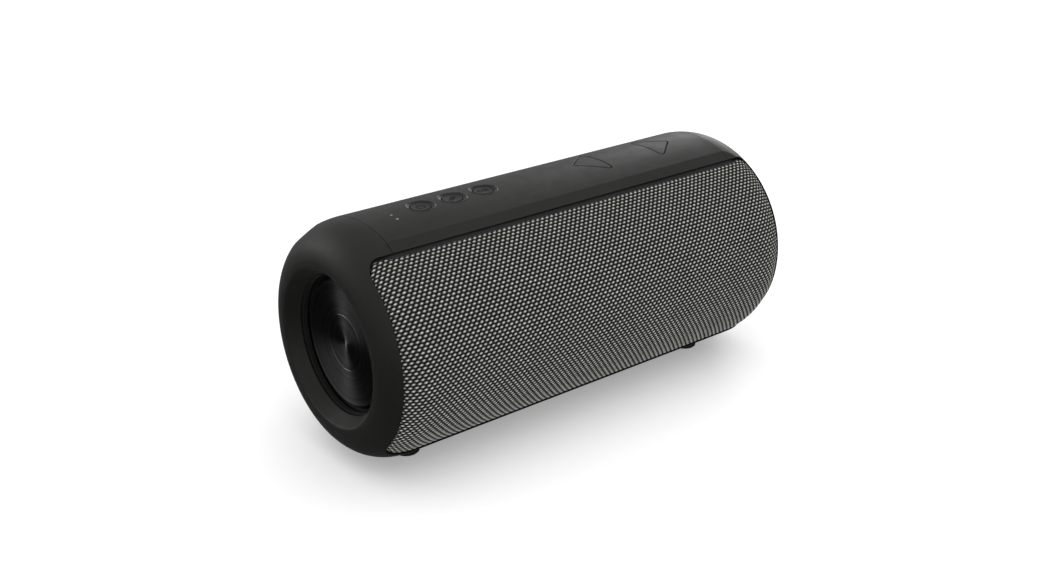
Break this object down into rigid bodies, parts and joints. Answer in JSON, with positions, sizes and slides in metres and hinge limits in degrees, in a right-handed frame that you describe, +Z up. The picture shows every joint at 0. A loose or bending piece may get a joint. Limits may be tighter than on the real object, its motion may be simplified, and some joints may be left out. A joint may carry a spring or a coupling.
{
  "type": "portable bluetooth speaker",
  "caption": "Round portable speaker on its side: woven cloth front and back, metal radiator disc in each domed end, round and triangular keys on a soft top strip.",
  "frame": {"origin": "on the table, under the middle of the body", "axes": "+X along the body towards the volume keys, -Y out of the front cloth, +Z up through the top strip"},
  "size_m": [0.168, 0.0756, 0.0772],
  "materials": {
    "soft_shell": "soft-touch satin",
    "key_rubber": "matt moulded silicone",
    "light_pipe": "clear diffusing, lit",
    "speaker_cloth": "open weave of pale and dark yarns",
    "grille_plastic": "moulded black",
    "spun_metal": "spun, dark anodised",
    "surround_rubber": "matt black",
    "foot_rubber": "matt",
    "inner_plastic": "moulded black",
    "cone_paper": "pressed cone",
    "basket_steel": "black paint",
    "magnet_steel": "plated",
    "screw_steel": "zinc plated",
    "socket_steel": "drawn steel",
    "socket_plastic": "moulded black",
    "board_green": "solder mask",
    "cell_wrap": "shrink sleeve"
  },
  "bodies": {
    "speaker": {"end_cap_left": "soft_shell", "end_cap_right": "soft_shell", "top_strip": "soft_shell", "bottom_strip": "soft_shell", "key_board": "board_green", "key_switches": "socket_steel", "status_lights": "light_pipe", "feet": "foot_rubber", "strip_screws": "screw_steel", "cloth_front": "speaker_cloth", "cloth_back": "speaker_cloth", "cloth_frame_front": "grille_plastic", "cloth_frame_back": "grille_plastic", "cabinet": "inner_plastic", "radiator_plate_left": "inner_plastic", "radiator_plate_right": "inner_plastic", "radiator_surround_left": "surround_rubber", "radiator_surround_right": "surround_rubber", "plate_screws": "screw_steel", "driver_basket_left": "basket_steel", "driver_basket_right": "basket_steel", "driver_magnet_left": "magnet_steel", "driver_magnet_right": "magnet_steel", "driver_surround_left": "surround_rubber", "driver_surround_right": "surround_rubber", "driver_screws": "screw_steel", "battery_cells": "cell_wrap", "battery_tray": "inner_plastic", "main_board": "board_green", "board_screws": "screw_steel", "usb_socket": "socket_steel", "audio_socket": "socket_plastic", "port_bay": "inner_plastic", "flap_pin": "screw_steel"},
    "power": {"key_power": "key_rubber"},
    "link": {"key_link": "key_rubber"},
    "play": {"key_play": "key_rubber"},
    "quieter": {"key_quieter": "key_rubber"},
    "louder": {"key_louder": "key_rubber"},
    "flap": {"port_flap": "foot_rubber"},
    "radiator_left": {"radiator_disc_left": "spun_metal"},
    "radiator_right": {"radiator_disc_right": "spun_metal"},
    "cone_left": {"driver_cone_left": "cone_paper"},
    "cone_right": {"driver_cone_right": "cone_paper"}
  },
  "joints": [
    {"name": "power_press", "type": "slide", "parent": "speaker", "child": "power", "axis": [0, 0, -1], "range_m": [0, 0.00035], "stiffness_N_per_m": 1500, "springref_m": -0.0002},
    {"name": "link_press", "type": "slide", "parent": "speaker", "child": "link", "axis": [0, 0, -1], "range_m": [0, 0.00035], "stiffness_N_per_m": 1500, "springref_m": -0.0002},
    {"name": "play_press", "type": "slide", "parent": "speaker", "child": "play", "axis": [0, 0, -1], "range_m": [0, 0.00035], "stiffness_N_per_m": 1500, "springref_m": -0.0002},
    {"name": "quieter_press", "type": "slide", "parent": "speaker", "child": "quieter", "axis": [0, 0, -1], "range_m": [0, 0.00035], "stiffness_N_per_m": 1500, "springref_m": -0.0002},
    {"name": "louder_press", "type": "slide", "parent": "speaker", "child": "louder", "axis": [0, 0, -1], "range_m": [0, 0.00035], "stiffness_N_per_m": 1500, "springref_m": -0.0002},
    {"name": "flap_hinge", "type": "hinge", "parent": "speaker", "child": "flap", "pos_m": [0, 0.0337, 0.0247], "axis": [-1, 0, 0], "range_deg": [0, 95]},
    {"name": "radiator_left_travel", "type": "slide", "parent": "speaker", "child": "radiator_left", "axis": [-1, 0, 0], "range_m": [-0.0015, 0.0015], "stiffness_N_per_m": 2200},
    {"name": "radiator_right_travel", "type": "slide", "parent": "speaker", "child": "radiator_right", "axis": [1, 0, 0], "range_m": [-0.0015, 0.0015], "stiffness_N_per_m": 2200},
    {"name": "cone_left_travel", "type": "slide", "parent": "speaker", "child": "cone_left", "axis": [0, -1, 0], "range_m": [-0.001, 0.001], "stiffness_N_per_m": 1700},
    {"name": "cone_right_travel", "type": "slide", "parent": "speaker", "child": "cone_right", "axis": [0, -1, 0], "range_m": [-0.001, 0.001], "stiffness_N_per_m": 1700}
  ]
}
